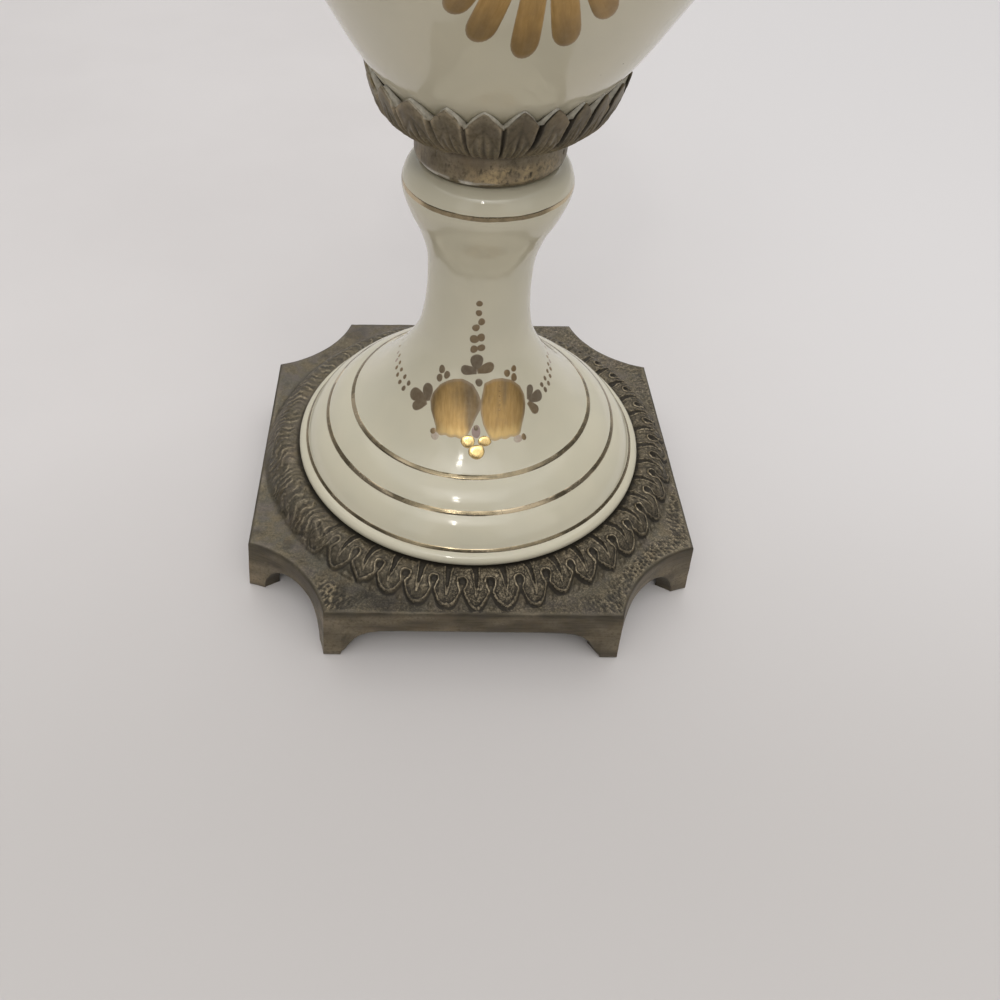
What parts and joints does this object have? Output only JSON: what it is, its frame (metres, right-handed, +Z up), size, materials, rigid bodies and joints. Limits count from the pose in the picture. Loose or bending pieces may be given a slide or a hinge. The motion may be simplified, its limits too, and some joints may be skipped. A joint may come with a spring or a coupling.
{
  "type": "mantel urn",
  "caption": "Lidded porcelain urn on a spreading gilt-lined foot, held by a bronze leaf cup and standing on a square bronze plinth with scooped corners and bracket feet",
  "frame": {"origin": "on the standing surface, on the urn's axis, at the middle of the plinth's feet", "axes": "+Z up, -Y to the gilded front, +X to the right"},
  "size_m": [0.1244, 0.1244, 0.3154],
  "materials": {
    "bronze": "cast bronze, dark grey-brown patina, worn brassy on the raised edges",
    "porcelain": "glossy warm cream glaze",
    "gilding": "burnished gold painted on the glaze, slightly worn"
  },
  "bodies": {
    "root": {"base_plinth": "bronze", "pedestal": "porcelain", "leaf_cup": "bronze", "body": "porcelain", "rim_ring": "bronze", "lid": "porcelain", "finial": "bronze"}
  },
  "joints": []
}
